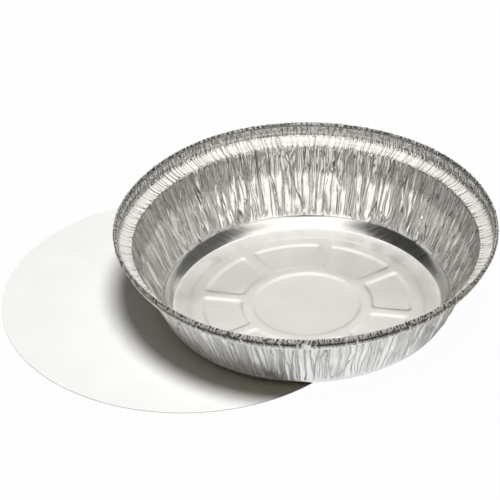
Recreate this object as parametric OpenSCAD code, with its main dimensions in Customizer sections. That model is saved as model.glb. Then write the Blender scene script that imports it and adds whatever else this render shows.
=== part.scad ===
// Round pressed-foil food pan with its flat board lid.
// The pan stands on the lid, which lies on the table a little to one side of it.
// Millimetres, Z up, the origin on the pan's axis at the table.

/* [Pan] */
// Outside diameter over the rolled edge
rim_d = 230; // [215:1:250]
// Height from the underside of the pan to the top of the rolled edge
pan_h = 55.5; // [45:0.5:70]
// Diameter of the crease where the gathered wall ends
base_d = 173; // [150:1:185]
// Width of the smooth bevel between that crease and the flat floor
bevel_w = 6; // [4:0.5:9]
// Height of the smooth bevel
bevel_h = 5.6; // [4:0.2:9]
// Thickness of the foil
foil_t = 0.1; // [0.08:0.01:0.2]

/* [Rim] */
// Width of the ledge that the lid lies on when the pan is closed
ledge_w = 8.3; // [6:0.1:11]
// Rise of the ledge from the wall to the lip
ledge_rise = 2.5; // [0:0.1:4]
// Height of the upright lip above the outer edge of the ledge
lip_h = 8.6; // [6.5:0.1:12]
// Distance that the lip leans out over its height
lip_lean = 0.8; // [0:0.1:2]
// Height of the hem rolled outward at the top of the lip
hem_h = 3.4; // [2:0.1:4.5]
// Width of the hem across the lip
hem_w = 1.8; // [1.2:0.1:2.4]

/* [Gathers] */
// Gathers round the wall, ledge and lip
gather_count = 96; // [48:4:96]
// Depth of the gathers in the wall
gather_depth = 1.5; // [0.4:0.1:1.8]
// Depth of the fine crimps in the ledge and lip
crimp_depth = 0.6; // [0.1:0.05:0.8]

/* [Floor] */
// Height of the raised middle of the floor, from which the panels are pressed back down
web_h = 1; // [0.4:0.1:1.6]
// Width of the flat ring outside the raised middle, on which the pan stands
foot_w = 8.5; // [6:0.5:11]
// Width of the slope up to the raised middle
step_w = 3.4; // [1.6:0.2:4.4]
// Width of the raised ring outside the panels
web_w = 5.2; // [4:0.2:8]
// Panels round the centre disc
panel_count = 8; // [6:1:10]
// Turn of the panels about the axis, in degrees
panel_turn = -11; // [-30:0.5:30]
// Width of the raised rib between one panel and the next
rib_w = 4.5; // [3:0.5:8]
// Corner rounding of the panels
panel_corner = 3; // [1.5:0.5:4]
// Width of the slope round each panel and round the disc
panel_edge = 1.8; // [0.8:0.1:2.2]
// Diameter of the flat of the centre disc
disc_d = 61; // [50:1:66]
// Width of the raised ring between the disc and the panels
hub_w = 5.4; // [4:0.2:8]

/* [Lid] */
// Thickness of the board
lid_t = 0.5; // [0.35:0.05:1]
// Gap between the edge of the lid and the lip when the pan is closed
lid_clear = 0.8; // [0.4:0.1:2]
// Distance of the lid's centre from the pan's axis
lid_shift = 72; // [60:1:80]
// Direction in which the lid is shifted, in degrees from +X
lid_turn = 177.5; // [0:0.5:360]

/* [Part] */
// Node to show

/* [Hidden] */

foil_tint = [0.80, 0.81, 0.83];
board_tint = [0.96, 0.95, 0.92];

// Radii of the rim from the outside in
rim_r = rim_d / 2;
lip_top_r = rim_r - hem_w;
lip_foot_r = lip_top_r - lip_lean;
wall_top_r = lip_foot_r - ledge_w;
crease_r = base_d / 2;
floor_r = crease_r - bevel_w;

// Heights of the rim; the pan stands on the lid
stand_z = lid_t;
rim_z = stand_z + pan_h;
lip_foot_z = rim_z - lip_h;
wall_top_z = lip_foot_z - ledge_rise;
crease_z = stand_z + bevel_h;
hem_bend = hem_w / 2;

// Radii of the floor from the outside in
step_r = floor_r - foot_w;
web_r = step_r - step_w;
panel_out_r = web_r - web_w;
disc_r = disc_d / 2;
hub_r = disc_r + panel_edge;
panel_in_r = hub_r + hub_w;

// Points round the gathered rows and round the floor rows
rim_points = 2 * gather_count;
panel_points = 8;
floor_points = panel_points * panel_count;

// Heights on the wall, as shares of it, of the two rows that carry the gathers
low_row = 0.3;
high_row = 0.72;

lid_r = lip_foot_r - lid_clear;

// Repeatable spread of values from 0 to 1
function spread(i, k) =
    let (v = 4781.3 * sin(137.5 * i + 71.3 * k + 13))
    v - floor(v);

// Point on the straight wall at a share of its height
function wall_point(share) = [
    crease_r + share * (wall_top_r - crease_r),
    crease_z + share * (wall_top_z - crease_z)
];

// Half section of the underside, from the edge rolled into the hem to the floor.
// Each row is [radius, height, depth of its wide gathers, depth of its fine crimps]
section = [
    [rim_r - 0.65 * hem_w, rim_z - hem_h, 0, 0.3 * crimp_depth],
    [rim_r, rim_z - hem_h + 0.3 * hem_bend, 0, 0.5 * crimp_depth],
    [rim_r, rim_z - hem_bend, 0, 0.6 * crimp_depth],
    [rim_r - hem_bend, rim_z, 0, 0.5 * crimp_depth],
    [lip_top_r, rim_z - hem_bend, 0, 0.7 * crimp_depth],
    [lip_foot_r, lip_foot_z, 0, 0.5 * crimp_depth],
    [wall_top_r, wall_top_z, 0.1 * gather_depth, 1.2 * crimp_depth],
    concat(wall_point(high_row), [0.4 * gather_depth, 0.5 * gather_depth]),
    concat(wall_point(low_row), [0.6 * gather_depth, 0.3 * gather_depth]),
    [crease_r, crease_z, 0, 0],
    [floor_r, stand_z, 0, 0]
];

function unit(v) = v / norm(v);

// Direction towards the inside of the pan, square to one leg of the section
function leg_normal(j) =
    let (d = [section[j + 1][0] - section[j][0], section[j + 1][1] - section[j][1]])
    unit([d[1], -d[0]]);

// The same at a row, long enough to keep the foil's thickness on both legs
function row_normal(j) =
    let (
        last = len(section) - 1,
        a = j == 0 ? leg_normal(0) : leg_normal(j - 1),
        b = j == last ? [0, 1] : leg_normal(j),
        m = unit(a + b)
    )
    m / (m * a);

// Depth of the gathers at one point: wide folds that part into two near the rim
function gather(i, j) =
    let (
        side = i % 2 == 0 ? 1 : -1,
        wide = cos(90 * i + 60 * spread(floor(i / 4), 1)),
        row = section[j]
    )
    row[2] * wide * (0.5 + 0.5 * spread(floor(i / 2), 2))
    + row[3] * side * (0.45 + 0.55 * spread(i, 3 + j));

// Sideways drift of the gathers, in degrees, so that they lean and close up
function drift(i, j) =
    let (step = 360 / rim_points)
    j < 6 || j > 8 ? 0 : step * (0.55 * (spread(floor(i / 3), 20 + j) - 0.5) + 0.5 * sin(5 * i * step));

// One ring of points of the gathered part; level is 0 on the underside and 1 inside
function rim_row(j, level) =
    let (n = row_normal(j), row = section[j])
    [for (i = [0 : rim_points - 1])
        let (
            depth = gather(i, j),
            r = row[0] + n[0] * level * foil_t + unit(n)[0] * depth,
            z = row[1] + n[1] * level * foil_t + unit(n)[1] * depth,
            a = 360 * i / rim_points + drift(i, j)
        )
        [r * cos(a), r * sin(a), z]
    ];

// Half widths of a rib at its top and at the foot of its slope
rib_top = rib_w / 2;
rib_foot = rib_top + panel_edge;

// Rings of the floor, from the outside in. A plain ring is [radius, height].
// A ring across the panels is [radius, height of the ribs, height of the panels,
// half width of a rib at its foot]
floor_rings = [
    [step_r, 0],
    [web_r, web_h],
    [panel_out_r, web_h, web_h, rib_foot + panel_corner],
    [panel_out_r - panel_edge, web_h, 0, rib_foot + panel_corner],
    [panel_out_r - panel_edge - panel_corner, web_h, 0, rib_foot],
    [panel_in_r + panel_edge + panel_corner, web_h, 0, rib_foot],
    [panel_in_r + panel_edge, web_h, 0, rib_foot + panel_corner],
    [panel_in_r, web_h, web_h, rib_foot + panel_corner],
    [hub_r, web_h],
    [disc_r, 0]
];

// Angle of one point of a floor ring inside its panel's share of the circle.
// Point 0 is on the middle of a rib, 1 and 7 on its top edges, 2 and 6 at the foot
function floor_angle(ring, k) =
    let (share = 360 / panel_count)
    len(ring) == 2 ? share * k / panel_points
    : let (
        foot = asin(ring[3] / ring[0]),
        top = asin((ring[3] - panel_edge) / ring[0])
    )
    k == 0 ? 0
    : k == 1 ? top
    : k == 7 ? share - top
    : foot + (share - 2 * foot) * (k - 2) / 4;

function floor_row(q, level) =
    let (ring = floor_rings[q])
    [for (i = [0 : floor_points - 1])
        let (
            k = i % panel_points,
            a = panel_turn + 360 / panel_count * floor(i / panel_points) + floor_angle(ring, k),
            on_panel = len(ring) > 2 && k > 1 && k < 7,
            z = stand_z + level * foil_t + ring[on_panel ? 2 : 1]
        )
        [ring[0] * cos(a), ring[0] * sin(a), z]
    ];

// All rings of one skin, from the edge in the hem to the centre disc
function skin_rows(level) = concat(
    [for (j = [0 : len(section) - 1]) rim_row(j, level)],
    [for (q = [0 : len(floor_rings) - 1]) floor_row(q, level)]
);

function flat(rows) = [for (row = rows) for (p = row) p];

// Index of the first point of each ring
function starts(rows, k = 0, at = 0) =
    k == len(rows) ? [] : concat([at], starts(rows, k + 1, at + len(rows[k])));

// Triangles between two rings that may have different numbers of points
function band(a, na, b, nb) =
    [for (k = [0 : na + nb - 1])
        let (
            i = floor(k * na / (na + nb)),
            i2 = floor((k + 1) * na / (na + nb)),
            j = k - i
        )
        i2 > i
            ? [a + i % na, a + (i + 1) % na, b + j % nb]
            : [a + i % na, b + (j + 1) % nb, b + j % nb]
    ];

function turned(faces) = [for (f = faces) [f[2], f[1], f[0]]];

module pan() {
    inner = skin_rows(1);
    outer = skin_rows(0);
    at = starts(inner);
    last = len(inner) - 1;
    skin = flat(inner);
    count = len(skin) + 1;
    skin_faces = concat(
        [for (k = [0 : last - 1])
            for (f = band(at[k], len(inner[k]), at[k + 1], len(inner[k + 1]))) f],
        [for (i = [0 : floor_points - 1])
            [at[last] + i, at[last] + (i + 1) % floor_points, count - 1]]
    );
    edge_faces = band(count, rim_points, 0, rim_points);
    color(foil_tint)
        polyhedron(
            points = concat(
                skin, [[0, 0, stand_z + foil_t]],
                flat(outer), [[0, 0, stand_z]]
            ),
            faces = concat(
                turned(skin_faces),
                [for (f = skin_faces) f + [count, count, count]],
                turned(edge_faces)
            ),
            convexity = 8
        );
}

module lid() {
    color(board_tint)
        translate([lid_shift * cos(lid_turn), lid_shift * sin(lid_turn), 0])
            cylinder(r = lid_r, h = lid_t, $fn = 240);
}

pan();
lid();
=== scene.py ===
import math

import bpy
import numpy as np
from mathutils import Matrix, Vector


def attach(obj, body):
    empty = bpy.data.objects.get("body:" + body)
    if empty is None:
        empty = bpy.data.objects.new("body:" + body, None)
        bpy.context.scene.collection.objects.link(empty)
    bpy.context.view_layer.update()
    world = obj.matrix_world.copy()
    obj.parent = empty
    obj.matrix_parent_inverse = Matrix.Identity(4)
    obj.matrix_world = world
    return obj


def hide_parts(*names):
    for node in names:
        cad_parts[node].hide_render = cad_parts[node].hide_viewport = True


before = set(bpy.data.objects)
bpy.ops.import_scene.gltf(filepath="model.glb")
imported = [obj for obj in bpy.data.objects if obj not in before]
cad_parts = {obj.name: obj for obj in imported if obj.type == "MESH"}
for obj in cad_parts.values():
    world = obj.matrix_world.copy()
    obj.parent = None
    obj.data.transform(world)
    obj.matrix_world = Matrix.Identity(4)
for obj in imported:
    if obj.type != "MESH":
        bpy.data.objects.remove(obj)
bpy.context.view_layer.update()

MM = 0.001
rng = np.random.default_rng(9)

# ------------------------------------------------------------------- sizes
# Lengths of the pieces are mm. A point of the section is a radius and a height.
STAND_Z = 0.5
FOIL_T = 0.1
RIM_R = 115.0
RIM_Z = 56.0

# Rolled hem: half its width and height, and the arc it goes through, degrees
HEM_HALF_W, HEM_HALF_H = 0.95, 1.8
HEM_ARC = (-75, 215)
HEM_ROWS = 9

# Section from the lip down to the floor's corner
LIP = ((112.6, 50.6), (112.4, 48.3), (111.9, 47.4))
LEDGE = ((111.2, 46.95), (110.2, 46.48), (108.6, 45.9), (106.0, 45.2), (104.4, 44.8))
WALL_TOP = (104.1, 44.9)
CREASE = (86.5, 6.1)
BEVEL = ((86.05, 5.45), (81.0, 0.92), (80.0, STAND_Z))
WALL_BULGE = 0.6
WALL_SHARES = (0.985, 0.955, *np.linspace(0.91, 0.05, 17), 0.022, 0.0)

# Folds of the wall: number round it, depth, widths of the steep and of the easy side, and
# the shares of the wall between which a fold starts and between which it ends
FOLDS = (
    (120, 1.0, 0.8, 2.6, (-0.2, 0.25), (0.55, 1.4)),
    (150, 0.45, 0.6, 1.4, (0.15, 0.6), (0.9, 1.5)),
    (110, 0.40, 0.6, 1.3, (-0.3, -0.1), (0.25, 0.6)))
FOLD_SHIFT = 0.45           # largest shift off its place, shares of the step
FOLD_LEAN = 0.032           # spread of the lean over the wall, radians
FOLD_SWAY = 0.006           # spread of the sway, radians
FOLD_SIZES = (0.3, 1.1)     # shares of the depth
FOLD_END = 0.18             # share of the wall over which a fold runs out
FOLD_REACH = 8              # half width beyond which nothing is left of it
FOLD_ROUND = 1.2            # 1 is a sharp valley, 2 a round one

# Crimps: height of soft waves, height of sharp ticks, and the least share of a tick
HEM_CRIMPS = (0.09, 0.18, -0.3)
HEM_OWN_WAVES = 0.07        # waves that differ from row to row
LIP_CRIMPS = (0.08, 0.16, -0.2)
LEDGE_CRIMPS = (0.07, 0.15, 0.0)
LEDGE_WAVES = 0.03
WALL_TOP_WAVES = (0.12, 0.08)

# The pan is a little out of round: amount, and the heights over which it grows
OUT_OF_ROUND = 0.22
OUT_OF_ROUND_FROM, OUT_OF_ROUND_OVER = 6, 50

# Painted shadow in the gap under the hem: its darkness on the rows at the hem's edge
GAP_SHADOW_ROWS = (1.0, 1.0, 0.3)

# Embossing of the floor
STEP_R, STEP_W, WEB_H = 72.6, 3.8, 0.75
PANEL_OUT, PANEL_IN, PANEL_EDGE, PANEL_CORNER = 63.6, 38.0, 2.6, 3.8
DISC_R, DISC_EDGE, RIB_HALF = 30.4, 3.2, 2.0
PANELS, PANEL_TURN = 8, math.radians(-11)

# Rings of the floor, and the radii between which their points gather at the ribs
FLOOR_RADII = (
    76.5, 72.8, 71.7, 70.6, 69.6, 68.6, 66.0, 63.8, 63.0, 62.2, 61.4, 60.6, 57.5, 53, 47.5,
    43.4, 41.6, 40.8, 40.0, 39.2, 38.4, 37.6, 33.8, 33.0, 32.0, 31.2, 30.2, 14, 6)
RIBS_FROM, RIBS_TO = (34, 38), (63.5, 67)
RIB_TOP_HALF = 1.8          # half width between the points on a rib's top
PANEL_RIM_SHARE = 0.16      # share of a half panel that is closely divided

# Lid
LID_R = 111.6
LID_T = 0.5
LID_SHIFT, LID_TURN = 72.0, math.radians(177.5)
LID_PROFILE = ((LID_R - 0.12, 0.0), (LID_R, 0.08), (LID_R, LID_T - 0.10), (LID_R - 0.12, LID_T))

# Points round the gathered part, the floor and the lid
AROUND = 1024
FLOOR_AROUND = 256
LID_AROUND = 512

# Map of the unrolled sheet: radius for the way round, height given to the floor
UNROLL_R = 95.0
FLOOR_V = -20.0

# -------------------------------------------------------------------- looks
# Places on the unrolled foil, mm up the sheet from the crease: where a mask is 0, where it is 1
CREASE_FROM, CREASE_TO = (-0.55, -0.1), (0.6, 0.15)
WALL_FROM, WALL_TO = (0.4, 4.0), (43.0, 42.0)
UPPER_FROM = (32.0, 36.0)
LEDGE_FROM, LEDGE_TO = (42.2, 43.2), (51.7, 51.2)
TEETH_TO = (46.5, 42.6)
LIP_FROM, LIP_FOOT = (51.2, 51.7), (53.5, 51.5)
HEM_FROM, HEM_TOP, HEM_FACE = (55.0, 58.0), (57.2, 58.4), (57.5, 59.0)
HEM_LENGTH_FROM = (57.0, 58.5)
POLISH_FROM = (-14.0, -9.0)
SATIN_FROM = (-1.0, 0.5)

# Cells of the crumpled foil, mm: width round the pan, length up the sheet
WIDE_LEAF, FINE_LEAF, LONG_CREASE = (4.4, 36), (1.7, 14), (8.5, 80)
OUTSIDE_LENGTH = 75         # of the wide leaves on the outside
RADIAL_CRIMP, CRUMPLE = (1.35, 40), (1.25, 6.0)
HEM_LENGTH = 3.0            # of the crumples on the hem
# Lines between the cells, the slope beside them, and the band of painted shade in the valley beside
# them, as shares of a cell
WIDE_LINE, FINE_LINE, LONG_LINE = 0.07, 0.14, 0.04
SLOPE, VALLEY = 0.2, 0.30
LINE_SIDE = (0.08, 0.30)    # distance from a cell's middle at which its lines start
# Where the lines are faint, how they wander, and the ragged start of the upper wall, mm
FAINT, FAINT_TO_STRONG = (5.0, 9), (0.35, 0.6)
WANDER, WANDER_BY, LONG_WANDER = (12, 22), 3.0, 1.5
RAGGED_W, RAGGED_BY = 3.0, 14.0

# Heights in the bump, mm. A pair is for the inside and the outside.
BUMP = dict(
    wall=(1.15, 4.0), wide_leaf=2.1, wide_line=-0.22, long_crease=-0.30, fine_leaf=0.55,
    fine_line=-0.16, radial=0.38, crumple=0.75, dents=0.7)
DENTS = 38.0                # dents to the metre

# Painted shade: how far each feature darkens the foil's colour, 0 to 1, in the lines and valleys of
# the wall, on its upper part, on the ledge's crimps, on the lip and hem and at the crease. A pair
# is for the inside and the outside.
PAINTED_SHADE = dict(
    lines=(1.0, 0.75), wide_line=0.45, long_crease=0.9, fine_line=0.25, valley=(0.13, 0.42),
    valley_power=(1.5, 3.5), upper=(0.28, 0.0), teeth=0.8, radial=0.2, lip=0.08,
    lip_foot=0.12, hem=0.16, hem_top=0.18, crumple=(0.45, 0.75), crease=0.55)

FOIL = (0.935, 0.932, 0.925, 1)
# colour of the painted shade in the foil's folds, crimps and crease
FOIL_PAINTED_SHADE = (0.14, 0.132, 0.12, 1)
# colour of the painted shadow in the gap under the hem
FOIL_GAP_SHADOW = (0.03, 0.028, 0.025, 1)
FLOOR_ROUGHNESS, FOIL_ROUGHNESS = 0.33, 0.20
SATIN = 0.27                # roughness added on the outside
ROLLING = 0.05              # roughness that the rolling lines add or take
ROLLING_GRAIN, ROLLING_TURN = (40, 1800, 40), math.radians(70)

BOARD_DULL = (0.925, 0.905, 0.865, 1)
BOARD_BRIGHT = (0.955, 0.935, 0.895, 1)
BOARD_EDGE_GREY = (0.36, 0.34, 0.31, 1)
BOARD_ROUGHNESS = 0.72
FIBRES, BOARD_CLOUDS, CLOUD_SHARE = 900.0, 35.0, 0.65
FIBRE_HEIGHT, FIBRE_STRENGTH = 0.05 * MM, 0.15

# -------------------------------------------------------------------- stage
# Lengths of the stage are metres
FLOOR_HALF = 3.0
FLOOR_Z = -0.1 * MM
FLOOR_COLOUR = (0.52, 0.49, 0.41, 1)
BACKDROP = 0.98
# The floor as the foil sees it: a painted pool of light, bright round a point in front, and dim
# beyond
SHINE_AT = (0.0, -0.115, 0)
SHINE_FADE = (0.065, 0.125)
SHINE_FAR = 0.2

# Studio as the foil sees it: zones of direction, half angle, soft edge (degrees) and strength
STUDIO_COLOUR = (1, 0.985, 0.93, 1)
STUDIO = 0.66
ZONES = (
    ((0, 0.81, 0.55), 26, 16, 0.86),        # behind
    ((0, -1, 0.30), 40, 22, 1.30),          # in front
    ((0, 0.08, 1.0), 28, 9, 1.20),          # overhead
    ((0, -0.55, 0.83), 12, 8, 1.4),         # in front, high up
    ((-1, 0.0, 0.55), 30, 14, 0.04),        # gap on the left
    ((1, 0.05, 0.58), 26, 12, 0.10),        # gap on the right
    ((0, -0.84, 0.58), 10, 6, 0.32))        # gap at the camera
HORIZON = 0.42
HORIZON_EDGE = (13, 6)      # degrees up
HORIZON_FRONT = (0.4, 0.1)
CLOUDS, CLOUD_SPREAD = 9.0, (0.84, 1.08)
FILL_COLOUR, FILL = (1, 0.80, 0.40, 1), 0.015

KEY_PLACE = (0.03, -0.93, 3.40)
KEY_SIZE = 1.15
KEY_POWER = 132
KEY_COLOUR = (0.955, 0.975, 1.0)

# Camera: distance in radii of the rim; degrees of height, turn, tilt beside the height, roll
CAMERA_AWAY = 41.83
CAMERA_ANGLES = (35.20, -0.49, -0.40, -1.12)
FOCAL_PX, FRAME_PX = 8000.0, 500.0
SENSOR = 36.0


def smooth(a, b, x):
    t = np.clip((x - a) / (b - a), 0, 1)
    return t * t * (3 - 2 * t)


def ring_noise(count, wave, seed):
    """Smooth periodic noise at count points; wave is its wave length in points."""
    r = np.random.default_rng(seed)
    spectrum = np.zeros(count // 2 + 1, complex)
    top = max(2, int(count / wave))
    k = np.arange(1, min(top * 2, count // 2))
    phase = r.uniform(0, 2 * math.pi, len(k))
    spectrum[k] = np.exp(-((k / top) ** 2)) * (k / top) * np.exp(1j * phase)
    out = np.fft.irfft(spectrum, count)
    return out / np.std(out)


# ---------------------------------------------------------- gathered part
def wall_folds(theta, t):
    """Height of the wall's folds, mm inward, at angles theta and shares t of the wall's height."""
    r_wall = CREASE[0] + (WALL_TOP[0] - CREASE[0]) * t
    field = np.zeros((len(t), len(theta)))
    for count, deep, steep, easy, starts, ends in FOLDS:
        step = 2 * math.pi / count
        for k in range(count):
            path = (k + rng.uniform(-FOLD_SHIFT, FOLD_SHIFT)) * step \
                + rng.normal(0, FOLD_LEAN) * (t - 0.5) \
                + rng.normal(0, FOLD_SWAY) * np.sin(5 * t + k)
            t0, t1 = rng.uniform(*starts), rng.uniform(*ends)
            strength = smooth(t0, t0 + FOLD_END, t) * (1 - smooth(t1 - FOLD_END, t1, t))
            side = rng.choice([-1, 1])
            depth = deep * rng.uniform(*FOLD_SIZES)
            for row in np.nonzero(strength > 0.002)[0]:
                turn = (theta - path[row] + math.pi) % (2 * math.pi) - math.pi
                off = turn * r_wall[row] * side
                near = np.abs(off) < FOLD_REACH
                x = off[near]
                width = np.where(x > 0, steep, easy)
                field[row, near] -= depth * strength[row] \
                    * np.exp(-(np.abs(x) / width) ** FOLD_ROUND)
    return field


def section_rows():
    """Half section from the hem's edge to the floor's corner: r, z, part, share of the part."""
    def rows_of(part, points):
        return [(r, z, part, k / (len(points) - 1)) for k, (r, z) in enumerate(points)]

    hem = []
    for a in np.linspace(*HEM_ARC, HEM_ROWS):
        c, s = math.cos(math.radians(a)), math.sin(math.radians(a))
        hem.append((RIM_R - HEM_HALF_W * (1 - c), RIM_Z - HEM_HALF_H * (1 - s)))
    wall = []
    for t in WALL_SHARES:
        r = CREASE[0] + (WALL_TOP[0] - CREASE[0]) * t + 4 * WALL_BULGE * t * (1 - t)
        wall.append((r, CREASE[1] + (WALL_TOP[1] - CREASE[1]) * t, "wall", t))
    return rows_of("hem", hem) + rows_of("lip", LIP) + rows_of("ledge", LEDGE) + wall \
        + rows_of("bevel", BEVEL)


def meridian_normals(points):
    """Normals that point to the inside of the pan, and away from the middle of the hem."""
    seg = np.diff(points, axis=0)
    seg /= np.linalg.norm(seg, axis=1)[:, None]
    d = np.zeros_like(points)
    d[1:-1] = seg[:-1] + seg[1:]
    d[0], d[-1] = seg[0], np.array([-1.0, 0.0]) + seg[-1]
    d /= np.linalg.norm(d, axis=1)[:, None]
    return np.stack([d[:, 1], -d[:, 0]], 1)


def row_lifts(theta, parts, share, wall):
    """Height of the folds and the crimps over the plain section, mm inward, row by row."""
    lift = np.zeros((len(parts), AROUND))
    t = share[wall]
    folds = wall_folds(theta, t)
    fade = smooth(-0.01, 0.10, t) * (1 - 0.6 * smooth(0.8, 1.0, t))
    lift[wall] = (folds - folds.mean(axis=1, keepdims=True)) * fade[:, None]
    waves = ring_noise(AROUND, 4.5, seed=11) * 0.7 + ring_noise(AROUND, 9.0, seed=12) * 0.3
    ticks = np.where(np.arange(AROUND) % 2 == 0, 1.0, -1.0)

    def crimps(soft, sharp, least):
        return soft * waves + sharp * ticks * rng.uniform(least, 1, AROUND)

    for i, part in enumerate(parts):
        if part == "ledge":
            near_wall = share[i] ** 4
            lift[i] = LEDGE_WAVES * waves + near_wall * crimps(*LEDGE_CRIMPS)
        elif part == "lip":
            lift[i] = crimps(*LIP_CRIMPS)
        elif part == "hem":
            lift[i] = HEM_OWN_WAVES * ring_noise(AROUND, 3.3, seed=80 + i) + crimps(*HEM_CRIMPS)
    for i, soft in zip(wall, WALL_TOP_WAVES):
        lift[i] += soft * waves
    return lift


def hem_gap_shadow(rows):
    """Painted shadow in the gap under the hem, on the inner skin and on the outer one behind it."""
    gap = np.zeros((2, rows, AROUND))
    torn = smooth(-1.8, -0.9, ring_noise(AROUND, 4.0, seed=31)) \
        * smooth(-2.3, -1.9, ring_noise(AROUND, 26.0, seed=32))
    gap[0, :len(GAP_SHADOW_ROWS)] = np.array(GAP_SHADOW_ROWS)[:, None] * torn
    gap[1, HEM_ROWS - 1:HEM_ROWS + 1] = torn
    return gap


def gathered_skins():
    """Points of the inner and the outer skin, length up the sheet, painted shadow of the hem's gap,
    and the first wall row.
    """
    theta = np.arange(AROUND) * 2 * math.pi / AROUND
    rows = section_rows()
    base = np.array([row[:2] for row in rows])
    parts = [row[2] for row in rows]
    share = np.array([row[3] for row in rows])
    wall = [i for i, part in enumerate(parts) if part == "wall"]
    normal = meridian_normals(base)
    lift = row_lifts(theta, parts, share, wall)
    slow_r = OUT_OF_ROUND * ring_noise(AROUND, AROUND / 5, seed=21)
    slow_z = OUT_OF_ROUND * ring_noise(AROUND, AROUND / 4, seed=22)
    height = np.clip((base[:, 1] - OUT_OF_ROUND_FROM) / OUT_OF_ROUND_OVER, 0, 1)[:, None]
    skins = []
    for level in (1.0, 0.0):
        off = lift + level * FOIL_T
        r = base[:, :1] + normal[:, :1] * off + height * slow_r[None, :]
        z = base[:, 1:] + normal[:, 1:] * off + height * slow_z[None, :]
        skins.append(np.stack([r * np.cos(theta), r * np.sin(theta), z], -1))
    length = np.concatenate([[0], np.cumsum(np.linalg.norm(np.diff(base, axis=0), axis=1))])
    return skins, length[wall[-1]] - length, hem_gap_shadow(len(rows)), wall[0]


# ------------------------------------------------------------------- floor
def floor_height(x, y):
    """Height of the embossed floor over its lowest level, mm."""
    r = np.hypot(x, y)
    share = 2 * math.pi / PANELS
    a = (np.arctan2(y, x) - PANEL_TURN + share / 2) % share - share / 2
    across = np.abs(r * np.sin(a))
    ends = np.minimum(PANEL_OUT - r, r - PANEL_IN)
    inside = np.minimum(ends, across - RIB_HALF)
    u = PANEL_CORNER - ends
    v = PANEL_CORNER - (across - RIB_HALF)
    inside = np.where((u > 0) & (v > 0), PANEL_CORNER - np.hypot(u, v), inside)
    panel = smooth(0, PANEL_EDGE, inside)
    disc = 1 - smooth(DISC_R, DISC_R + DISC_EDGE, r)
    web = 1 - smooth(STEP_R - STEP_W, STEP_R, r)
    return WEB_H * web * (1 - np.maximum(panel, disc))


def floor_skins():
    """Points of the inner and the outer skin of the floor, closer together at the ribs."""
    radii = np.array(FLOOR_RADII)
    share = 2 * math.pi / PANELS
    per = FLOOR_AROUND // PANELS
    k = np.arange(FLOOR_AROUND) % per
    sector = np.arange(FLOOR_AROUND) // per
    knots = np.array([0, 1, 6, 8, per / 2])
    angle = []
    for r in radii:
        foot = math.asin((RIB_HALF + PANEL_EDGE) / r)
        top = math.asin(RIB_TOP_HALF / r)
        pull = smooth(*RIBS_FROM, r) * (1 - smooth(*RIBS_TO, r))
        place = np.array(
            [0, top, foot, foot + (share / 2 - foot) * PANEL_RIM_SHARE, share / 2])
        half = np.interp(np.minimum(k, per - k), knots, place)
        warped = np.where(k <= per / 2, half, share - half)
        angle.append(
            PANEL_TURN + sector * share + pull * warped + (1 - pull) * share * k / per)
    angle = np.array(angle)
    x = radii[:, None] * np.cos(angle)
    y = radii[:, None] * np.sin(angle)
    z = STAND_Z + floor_height(x, y)
    return [np.stack([x, y, z + level * FOIL_T], -1) for level in (1.0, 0.0)]


# ------------------------------------------------------------------ meshes
def quads(a, b, n):
    """Faces between two closed rings of n points that start at a and b."""
    return [(a + i, a + (i + 1) % n, b + (i + 1) % n, b + i) for i in range(n)]


def stitch(a, na, b, nb):
    """Triangles between two closed rings of na and nb points that start at a and b."""
    out = []
    i = j = 0
    while i < na or j < nb:
        if j >= nb or (i < na and (i + 0.5) / na <= (j + 0.5) / nb):
            out.append((a + i % na, a + (i + 1) % na, b + j % nb))
            i += 1
        else:
            out.append((a + i % na, b + (j + 1) % nb, b + j % nb))
            j += 1
    return out


def add_object(name, verts, faces, flat=()):
    """Object with smooth faces, apart from those numbered in flat."""
    mesh = bpy.data.meshes.new(name)
    mesh.from_pydata([tuple(v) for v in verts], [], faces)
    soft = np.ones(len(faces), bool)
    soft[list(flat)] = False
    mesh.polygons.foreach_set("use_smooth", soft)
    obj = bpy.data.objects.new(name, mesh)
    bpy.context.collection.objects.link(obj)
    return obj


def unroll(mesh, verts, along):
    """UV map of the flat sheet, mm: round the pan and up its section."""
    turn = 2 * math.pi
    loop_vertex = np.empty(len(mesh.loops), np.int32)
    mesh.loops.foreach_get("vertex_index", loop_vertex)
    first = np.empty(len(mesh.polygons), np.int32)
    mesh.polygons.foreach_get("loop_start", first)
    u = (np.arctan2(verts[:, 1], verts[:, 0]) % turn)[loop_vertex]
    highest = np.maximum.reduceat(u, first)
    highest = np.repeat(highest, np.diff(np.append(first, len(u))))
    u = np.where(highest - u > math.pi, u + turn, u) * UNROLL_R
    layer = mesh.uv_layers.new(name="sheet")
    uv = np.stack([u, along[loop_vertex]], 1)
    layer.data.foreach_set("uv", uv.astype(np.float32).ravel())


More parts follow.
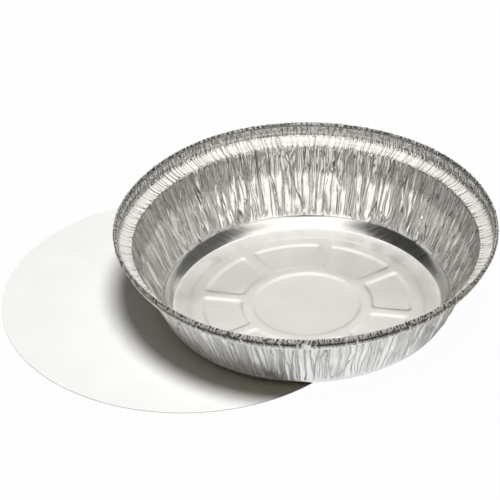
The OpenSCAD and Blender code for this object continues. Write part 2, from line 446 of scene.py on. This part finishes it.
def build_pan():
    """The foil as one closed mesh of an inner and an outer skin."""
    rim, along, gap, crimped_rows = gathered_skins()
    floor = floor_skins()
    verts, up, dark, outside = [], [], [], []
    starts = ([], [])
    at = 0
    for s in (0, 1):
        centre = np.array([[0, 0, STAND_Z + (FOIL_T if s == 0 else 0)]])
        rings = [(points, along[i], gap[s, i]) for i, points in enumerate(rim[s])]
        rings += [(points, FLOOR_V, 0.0) for points in (*floor[s], centre)]
        for points, v, darkness in rings:
            starts[s].append(at)
            at += len(points)
            verts.append(points)
            up.append(np.full(len(points), v))
            dark.append(np.full(len(points), darkness))
            outside.append(np.full(len(points), float(s)))
    verts = np.concatenate(verts) * MM

    faces, flat = [], []

    def add_faces(new, turned):
        faces.extend(f[::-1] if turned else f for f in new)

    for s in (0, 1):
        inner = s == 0
        *rings, centre = starts[s]
        rim_rings, floor_rings = rings[:len(along)], rings[len(along):]
        for i, (a, b) in enumerate(zip(rim_rings, rim_rings[1:])):
            if i < crimped_rows:
                flat.extend(range(len(faces), len(faces) + AROUND))
            add_faces(quads(a, b, AROUND), inner)
        add_faces(stitch(rim_rings[-1], AROUND, floor_rings[0], FLOOR_AROUND), inner)
        for a, b in zip(floor_rings, floor_rings[1:]):
            add_faces(quads(a, b, FLOOR_AROUND), inner)
        last = floor_rings[-1]
        add_faces([(last + i, last + (i + 1) % FLOOR_AROUND, centre)
                   for i in range(FLOOR_AROUND)], inner)
    # the edge inside the hem
    add_faces(quads(starts[1][0], starts[0][0], AROUND), True)

    pan = add_object("foil_pan", verts, faces, flat)
    unroll(pan.data, verts, np.concatenate(up))
    # the painted shadow under the hem, and which skin is outside
    for name, value in (("gap", dark), ("outside", outside)):
        layer = pan.data.attributes.new(name, "FLOAT", "POINT")
        layer.data.foreach_set("value", np.concatenate(value).astype(np.float32))
    return pan


def build_lid():
    """Board disc with slightly pressed edges."""
    angle = np.arange(LID_AROUND) * 2 * math.pi / LID_AROUND
    x, y = LID_SHIFT * math.cos(LID_TURN), LID_SHIFT * math.sin(LID_TURN)
    verts = [(x + r * math.cos(a), y + r * math.sin(a), z) for r, z in LID_PROFILE for a in angle]
    rings = range(0, len(verts), LID_AROUND)
    faces = [f for a, b in zip(rings, rings[1:]) for f in quads(a, b, LID_AROUND)]
    faces.append(tuple(range(LID_AROUND))[::-1])
    faces.append(tuple(range(rings[-1], len(verts))))
    return add_object("board_lid", np.array(verts) * MM, faces, (-2, -1))


# --------------------------------------------------------------- materials
class Graph:
    """Short names for the nodes of one material or world."""

    def __init__(self, owner):
        owner.use_nodes = True
        self.tree = owner.node_tree
        self.tree.nodes.clear()

    def node(self, kind, **settings):
        node = self.tree.nodes.new("ShaderNode" + kind)
        for name, value in settings.items():
            setattr(node, name, value)
        return node

    def put(self, value, socket):
        if isinstance(value, bpy.types.NodeSocket):
            self.tree.links.new(value, socket)
        else:
            socket.default_value = value

    def result(self, kind, inputs, output=0, **settings):
        """One output of a new node, with its inputs given by name or number."""
        node = self.node(kind, **settings)
        for key, value in inputs.items():
            self.put(value, node.inputs[key])
        return node.outputs[output]

    def math(self, op, a, b=0.0, *more):
        """One operation on two values, repeated with each further value."""
        total = self.result("Math", {0: a, 1: b}, operation=op)
        return self.math(op, total, *more) if more else total

    def add(self, *values):
        return self.math("ADD", *values)

    def mul(self, *values):
        return self.math("MULTIPLY", *values)

    def most(self, *values):
        return self.math("MAXIMUM", *values)

    def ramp(self, value, low, high, to_low=0.0, to_high=1.0, kind="SMOOTHSTEP"):
        inputs = {"Value": value, "From Min": low, "From Max": high,
                  "To Min": to_low, "To Max": to_high}
        return self.result("MapRange", inputs, interpolation_type=kind)

    def mix(self, factor, a, b):
        return self.result("Mix", {0: factor, 2: a, 3: b}, data_type="FLOAT")

    def mix_colour(self, factor, a, b):
        return self.result("Mix", {0: factor, 6: a, 7: b}, 2, data_type="RGBA")

    def mix_shader(self, factor, a, b):
        return self.result("MixShader", {0: factor, 1: a, 2: b})

    def join(self, x, y, z=0.0):
        return self.result("CombineXYZ", {0: x, 1: y, 2: z})

    def split(self, vector):
        node = self.node("SeparateXYZ")
        self.put(vector, node.inputs[0])
        return node.outputs

    def noise(self, vector, scale=1.0, detail=2.0, dimensions="3D"):
        inputs = {"Vector": vector, "Scale": scale, "Detail": detail}
        return self.result("TexNoise", inputs, noise_dimensions=dimensions)

    def cells(self, vector):
        """Distance to the border, random value and place across, of the cells of a plane."""
        border = self.node("TexVoronoi", feature="DISTANCE_TO_EDGE", voronoi_dimensions="2D")
        whole = self.node("TexVoronoi", feature="F1", voronoi_dimensions="2D")
        for node in (border, whole):
            self.put(vector, node.inputs["Vector"])
            node.inputs["Scale"].default_value = 1.0
        value = self.split(whole.outputs["Color"])[0]
        off = self.math(
            "SUBTRACT", self.split(vector)[0], self.split(whole.outputs["Position"])[0])
        return border.outputs["Distance"], value, off

    def in_the_foil(self, path):
        """1 for a glossy ray that has met nothing dull on its way from the camera."""
        direct = self.math("LESS_THAN", path.outputs["Diffuse Depth"], 0.5)
        return self.mul(path.outputs["Is Glossy Ray"], direct)


def new_material(name, graph=Graph):
    """A material, its graph and its shader."""
    material = bpy.data.materials.new(name)
    g = graph(material)
    shader = g.node("BsdfPrincipled")
    g.put(shader.outputs[0], g.node("OutputMaterial").inputs[0])
    return material, g, shader


class FoilGraph(Graph):
    """The foil on the map of its sheet: u round the pan and v up from the crease, mm."""

    def __init__(self, owner):
        super().__init__(owner)
        self.place = self.node("TexCoord").outputs["Object"]
        self.outside = self.node("Attribute", attribute_name="outside").outputs["Fac"]
        self.u, self.v, _ = self.split(self.node("UVMap", uv_map="sheet").outputs[0])

        # parts of the sheet; the upper wall starts at a ragged line
        ragged = self.mul(
            self.noise(self.join(self.mul(self.u, 1 / RAGGED_W), 0.0), dimensions="2D"), RAGGED_BY)
        self.on_wall = self.between(WALL_FROM, WALL_TO)
        self.upper = self.mul(
            self.ramp(self.add(self.v, ragged), *UPPER_FROM), self.ramp(self.v, *WALL_TO))
        self.on_ledge = self.between(LEDGE_FROM, LEDGE_TO)
        self.on_lip = self.ramp(self.v, *LIP_FROM)

        # leaf-shaped facets with narrow lines between them, which wander up the wall
        wander = self.mul(self.math("SUBTRACT", self.crumpled(WANDER), 0.5), WANDER_BY)
        u_wide = self.add(self.u, wander)
        u_long = self.add(self.u, self.mul(wander, LONG_WANDER))
        length = self.by_side(1 / WIDE_LEAF[1], 1 / OUTSIDE_LENGTH)
        edge, value, off = self.cells(self.plane(u_wide, 1 / WIDE_LEAF[0], length))
        self.wide_leaf = self.facet(edge, value, off, BUMP["wide_leaf"])
        self.wide_line = self.line(edge, off, WIDE_LINE)
        # band of painted shade in the valley along a cell's border
        self.valley = self.ramp(edge, 0.0, VALLEY, 1.0, 0.0, "LINEAR")
        edge, value, off = self.cells(self.plane(u_wide, 1 / FINE_LEAF[0], 1 / FINE_LEAF[1]))
        self.fine_leaf = self.facet(edge, value, off, BUMP["fine_leaf"])
        self.fine_line = self.line(edge, off, FINE_LINE)
        edge, _, off = self.cells(self.plane(u_long, 1 / LONG_CREASE[0], 1 / LONG_CREASE[1]))
        self.long_crease = self.line(edge, off, LONG_LINE)
        self.strong = self.ramp(self.crumpled(FAINT), *FAINT_TO_STRONG)

        # radial crimps of the ledge, crumples of the lip and shorter ones of the hem
        self.radial = self.crumpled(RADIAL_CRIMP)
        length = self.ramp(self.v, *HEM_LENGTH_FROM, 1 / CRUMPLE[1], 1 / HEM_LENGTH)
        self.crumple = self.noise(
            self.plane(self.u, 1 / CRUMPLE[0], length), detail=1.0, dimensions="2D")

    def plane(self, u, across, along):
        return self.join(self.mul(u, across), self.mul(self.v, along))

    def crumpled(self, cell):
        """Noise whose grains have the width and the length of a cell."""
        plane = self.plane(self.u, 1 / cell[0], 1 / cell[1])
        return self.noise(plane, detail=1.0, dimensions="2D")

    def between(self, start, end):
        return self.mul(self.ramp(self.v, *start), self.ramp(self.v, *end))

    def by_side(self, inner, outer):
        return self.ramp(self.outside, 0, 1, inner, outer)

    def facet(self, edge, value, off, height):
        """Slope across a cell, to the left or to the right."""
        tilt = self.math("SUBTRACT", value, 0.5)
        return self.mul(tilt, off, self.ramp(edge, 0.0, SLOPE), height)

    def line(self, edge, off, width):
        """Line along the two long sides of a cell, but not at its ends."""
        side = self.ramp(self.math("ABSOLUTE", off), *LINE_SIDE)
        return self.mul(self.ramp(edge, 0.0, width, 1.0, 0.0), side)

    def height(self):
        wall = self.add(
            self.wide_leaf, self.mul(self.wide_line, BUMP["wide_line"]),
            self.mul(self.long_crease, self.strong, BUMP["long_crease"]))
        upper = self.add(self.fine_leaf, self.mul(self.fine_line, BUMP["fine_line"]))
        return self.add(
            self.mul(self.on_wall, self.by_side(*BUMP["wall"]), wall),
            self.mul(self.upper, upper),
            self.mul(self.on_ledge, self.mul(self.radial, BUMP["radial"])),
            self.mul(self.on_lip, self.mul(self.crumple, BUMP["crumple"])),
            self.mul(self.noise(self.place, DENTS, 1.0), BUMP["dents"]))

    def painted_shade(self):
        """Painted shade: how far a point's colour is darkened, as if closed up in folds from which
        hardly any light comes back.
        """
        lines = self.mul(self.on_wall, self.by_side(*PAINTED_SHADE["lines"]), self.most(
            self.mul(self.wide_line, self.strong, PAINTED_SHADE["wide_line"]),
            self.mul(self.long_crease, self.strong, PAINTED_SHADE["long_crease"])))
        fine = self.mul(self.upper, self.mul(self.fine_line, PAINTED_SHADE["fine_line"]))
        valleys = self.mul(
            self.on_wall, self.by_side(*PAINTED_SHADE["valley"]),
            self.math("POWER", self.valley, self.by_side(*PAINTED_SHADE["valley_power"])))
        wall = self.add(
            self.most(lines, fine, valleys), self.mul(self.upper, self.by_side(*PAINTED_SHADE["upper"])))
        # painted shade in the valleys of the ledge's crimps, near its inner edge
        teeth = self.mul(self.ramp(self.v, *TEETH_TO), self.ramp(self.radial, 0.52, 0.60))
        ledge = self.mul(self.on_ledge, self.most(
            self.mul(teeth, PAINTED_SHADE["teeth"]),
            self.mul(self.ramp(self.radial, 0.56, 0.62), PAINTED_SHADE["radial"])))
        rim = self.mul(self.on_lip, self.add(
            PAINTED_SHADE["lip"],
            self.mul(self.ramp(self.v, *LIP_FOOT), PAINTED_SHADE["lip_foot"]),
            self.mul(self.ramp(self.v, *HEM_FROM), PAINTED_SHADE["hem"]),
            self.mul(self.ramp(self.v, *HEM_TOP), PAINTED_SHADE["hem_top"]),
            self.mul(self.ramp(self.crumple, 0.53, 0.60),
                     self.ramp(self.v, *HEM_FACE, *PAINTED_SHADE["crumple"]))))
        crease = self.mul(self.between(CREASE_FROM, CREASE_TO), PAINTED_SHADE["crease"])
        return self.most(wall, ledge, rim, crease)


def foil_material():
    material, g, shader = new_material("foil", FoilGraph)
    bump = g.node("Bump")
    bump.inputs["Distance"].default_value = MM
    g.put(g.height(), bump.inputs["Height"])
    g.put(bump.outputs[0], shader.inputs["Normal"])

    # painted shade of the folds, crimps and crease mixed into the foil's colour
    foil = g.mix_colour(g.painted_shade(), FOIL, FOIL_PAINTED_SHADE)
    # the painted shadow in the gap under the hem darkens the colour further
    gap = g.node("Attribute", attribute_name="gap").outputs["Fac"]
    g.put(g.mix_colour(gap, foil, FOIL_GAP_SHADOW), shader.inputs["Base Color"])
    shader.inputs["Metallic"].default_value = 1.0

    # rolling lines of the sheet, straight across the pan
    lines = g.node("Mapping")
    lines.inputs["Scale"].default_value = ROLLING_GRAIN
    lines.inputs["Rotation"].default_value = (0, 0, ROLLING_TURN)
    g.put(g.place, lines.inputs["Vector"])
    rolling = g.ramp(g.noise(lines.outputs[0]), 0.3, 0.7, -ROLLING, ROLLING)
    polish = g.ramp(g.v, *POLISH_FROM, FLOOR_ROUGHNESS, FOIL_ROUGHNESS)
    satin = g.mul(g.ramp(g.v, *SATIN_FROM), g.by_side(0.0, SATIN))
    g.put(g.add(polish, satin, rolling), shader.inputs["Roughness"])
    return material


def board_material():
    material, g, shader = new_material("board")
    place = g.node("TexCoord").outputs["Object"]
    fibre = g.noise(place, FIBRES, 6.0)
    cloud = g.noise(place, BOARD_CLOUDS, 4.0)
    tone = g.mix(CLOUD_SHARE, fibre, cloud)
    face = g.mix_colour(g.ramp(tone, 0.35, 0.65), BOARD_DULL, BOARD_BRIGHT)
    # the cut edge, which faces sideways, is darker grey
    facing = g.split(g.node("NewGeometry").outputs["True Normal"])[2]
    g.put(g.mix_colour(g.ramp(facing, 0.5, 0.6), BOARD_EDGE_GREY, face), shader.inputs["Base Color"])
    shader.inputs["Roughness"].default_value = BOARD_ROUGHNESS
    bump = g.node("Bump")
    bump.inputs["Strength"].default_value = FIBRE_STRENGTH
    bump.inputs["Distance"].default_value = FIBRE_HEIGHT
    g.put(fibre, bump.inputs["Height"])
    g.put(bump.outputs[0], shader.inputs["Normal"])
    return material


# ------------------------------------------------------------------- stage
def stage_floor():
    """Floor that keeps the shadow and is white for the camera."""
    corners = [(x * FLOOR_HALF, y * FLOOR_HALF, 0) for x, y in ((-1, -1), (1, -1), (1, 1), (-1, 1))]
    floor = add_object("floor", corners, [(0, 1, 2, 3)])
    floor.location.z = FLOOR_Z
    material = bpy.data.materials.new("floor_white")
    g = Graph(material)
    dull = g.node("BsdfDiffuse")
    dull.inputs["Color"].default_value = FLOOR_COLOUR
    glow = g.node("Emission")
    path = g.node("LightPath")
    away = g.node("VectorMath", operation="DISTANCE")
    g.put(g.node("TexCoord").outputs["Object"], away.inputs[0])
    away.inputs[1].default_value = SHINE_AT
    shine = g.mul(g.in_the_foil(path), g.ramp(away.outputs["Value"], *SHINE_FADE, 1.0, SHINE_FAR))
    white = g.add(g.mul(path.outputs["Is Camera Ray"], BACKDROP), shine)
    surface = g.mix_shader(white, dull.outputs[0], glow.outputs[0])
    g.put(surface, g.node("OutputMaterial").inputs[0])
    floor.data.materials.append(material)


def world_light():
    """Bright studio with dark gaps to the left and right, at the camera and low down in front.

    Only the foil sees it. Dull surfaces get a weak fill, and the camera a white backdrop."""
    world = bpy.data.worlds.new("studio")
    bpy.context.scene.world = world
    g = Graph(world)
    vector = g.node("TexCoord").outputs["Generated"]
    _, y, z = g.split(vector)

    level = STUDIO
    for direction, half, soft, strength in ZONES:
        dot = g.node("VectorMath", operation="DOT_PRODUCT")
        g.put(vector, dot.inputs[0])
        dot.inputs[1].default_value = Vector(direction).normalized()
        outer, inner = (math.cos(math.radians(a)) for a in (half + soft, half))
        level = g.mix(g.ramp(dot.outputs["Value"], outer, inner), level, strength)
    low = g.ramp(z, *(math.sin(math.radians(a)) for a in HORIZON_EDGE))
    level = g.mix(g.mul(low, g.ramp(y, *HORIZON_FRONT)), level, HORIZON)
    level = g.mul(level, g.ramp(g.noise(vector, CLOUDS, 1.0), 0.35, 0.65, *CLOUD_SPREAD))

    def background(colour, strength):
        return g.result("Background", {"Color": colour, "Strength": strength})

    path = g.node("LightPath")
    seen = g.mix_shader(
        g.in_the_foil(path), background(FILL_COLOUR, FILL), background(STUDIO_COLOUR, level))
    seen = g.mix_shader(path.outputs["Is Camera Ray"], seen, background((1, 1, 1, 1), 1.0))
    g.put(seen, g.node("OutputWorld").inputs[0])
    world.cycles.sampling_method = "NONE"


def key_light():
    """Large soft lamp that makes the shadow; the foil doesn't mirror it."""
    data = bpy.data.lights.new("key", "AREA")
    data.shape = "DISK"
    data.size = KEY_SIZE
    data.energy = KEY_POWER
    data.color = KEY_COLOUR
    lamp = bpy.data.objects.new("key", data)
    bpy.context.collection.objects.link(lamp)
    lamp.location = KEY_PLACE
    lamp.visible_glossy = False
    lamp.rotation_euler = (-Vector(KEY_PLACE)).to_track_quat("-Z", "Y").to_euler()


def camera():
    distance = CAMERA_AWAY * RIM_R * MM
    elevation, pan, tilt_off, roll = (math.radians(a) for a in CAMERA_ANGLES)
    tilt = elevation + tilt_off
    place = Vector((
        0, -distance * math.cos(elevation), distance * math.sin(elevation) + STAND_Z * MM))
    forward = Vector((
        math.sin(pan) * math.cos(tilt), math.cos(pan) * math.cos(tilt), -math.sin(tilt)))
    level = Vector((math.cos(pan), -math.sin(pan), 0))
    up = level.cross(forward)
    right = math.cos(roll) * level + math.sin(roll) * up
    top = -math.sin(roll) * level + math.cos(roll) * up
    data = bpy.data.cameras.new("camera")
    data.sensor_width = SENSOR
    data.lens = FOCAL_PX / FRAME_PX * SENSOR
    data.clip_start = 0.1
    data.clip_end = 50
    cam = bpy.data.objects.new("camera", data)
    bpy.context.collection.objects.link(cam)
    cam.matrix_world = Matrix((
        (right.x, top.x, -forward.x, place.x),
        (right.y, top.y, -forward.y, place.y),
        (right.z, top.z, -forward.z, place.z),
        (0, 0, 0, 1)))
    bpy.context.scene.camera = cam


camera()
world_light()
stage_floor()
key_light()

pan = build_pan()
pan.data.materials.append(foil_material())
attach(pan, "root")
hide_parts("pan")

lid = build_lid()
lid.data.materials.append(board_material())
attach(lid, "root")
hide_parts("lid")

bpy.context.scene.view_settings.view_transform = "Standard"
